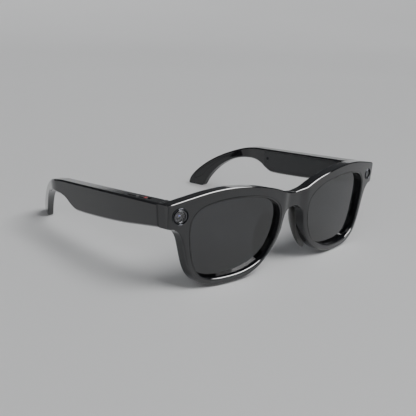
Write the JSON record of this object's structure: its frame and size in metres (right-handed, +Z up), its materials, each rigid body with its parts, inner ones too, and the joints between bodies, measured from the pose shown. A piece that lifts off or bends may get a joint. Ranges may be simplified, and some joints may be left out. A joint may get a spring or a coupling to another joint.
{
  "type": "smart glasses",
  "caption": "Thick-rimmed smart glasses with tinted lenses, a camera in one end piece, a status light in the other and folding temples.",
  "frame": {"origin": "on the surface the glasses stand on, below the middle of their bounding box", "axes": "+Z up, -Y out of the front the way the wearer looks, +X to the wearer's left; the glasses stand on the two rims and the two temple tips"},
  "size_m": [0.157, 0.1644, 0.0506],
  "materials": {
    "gloss_black": "glossy",
    "satin_black": "satin",
    "matte_black": "matte",
    "pad_black": "satin",
    "tinted_lens": "polished",
    "camera_glass": "polished",
    "dark_ring": "glossy",
    "light_guide": "satin",
    "circuit_board": "satin",
    "flex_film": "satin",
    "steel": "brushed",
    "cell_foil": "satin",
    "red_paint": "satin"
  },
  "bodies": {
    "front": {"front_frame": "gloss_black", "brow_rear_cover": "satin_black", "brow_flex_cable": "flex_film", "lens_right": "tinted_lens", "lens_left": "tinted_lens", "nose_pad_right": "pad_black", "nose_pad_left": "pad_black", "camera_bezel": "dark_ring", "camera_window": "camera_glass", "camera_lens_barrel": "matte_black", "camera_sensor_board": "circuit_board", "status_light_bezel": "dark_ring", "status_light_guide": "light_guide", "status_light_board": "circuit_board", "hinge_front_leaf_right": "steel", "hinge_front_leaf_left": "steel", "hinge_pin_right": "steel", "hinge_pin_left": "steel"},
    "right_temple": {"temple_housing_right": "gloss_black", "temple_inner_cover_right": "satin_black", "tip_inlay_right": "satin_black", "hinge_temple_leaf_right": "steel", "cover_screw_front_right": "steel", "cover_screw_rear_right": "steel", "speaker_grille_right": "matte_black", "speaker_right": "matte_black", "battery_right": "cell_foil", "microphone_right": "steel", "capture_switch": "matte_black", "power_switch": "matte_black", "main_board": "circuit_board", "processor": "matte_black"},
    "left_temple": {"temple_housing_left": "gloss_black", "temple_inner_cover_left": "satin_black", "tip_inlay_left": "satin_black", "hinge_temple_leaf_left": "steel", "cover_screw_front_left": "steel", "cover_screw_rear_left": "steel", "speaker_grille_left": "matte_black", "speaker_left": "matte_black", "battery_left": "cell_foil", "microphone_left": "steel", "charging_board": "circuit_board"},
    "capture_button": {"capture_button": "gloss_black"},
    "power_slider": {"power_slider": "gloss_black", "power_slider_red_mark": "red_paint"}
  },
  "joints": [
    {"name": "right_temple_fold", "type": "hinge", "parent": "front", "child": "right_temple", "pos_m": [-0.0664, -0.06032, 0.03876], "axis": [0, -0.0958, -0.9954], "range_deg": [0, 70]},
    {"name": "left_temple_fold", "type": "hinge", "parent": "front", "child": "left_temple", "pos_m": [0.0664, -0.06032, 0.03876], "axis": [0, 0.0958, 0.9954], "range_deg": [0, 89]},
    {"name": "capture_button_press", "type": "slide", "parent": "right_temple", "child": "capture_button", "axis": [0, -0.0958, -0.9954], "range_m": [0, 0.0004], "stiffness_N_per_m": 1500},
    {"name": "power_slider_slide", "type": "slide", "parent": "right_temple", "child": "power_slider", "axis": [0.04, -0.9946, 0.0958], "range_m": [0, 0.0026]}
  ]
}
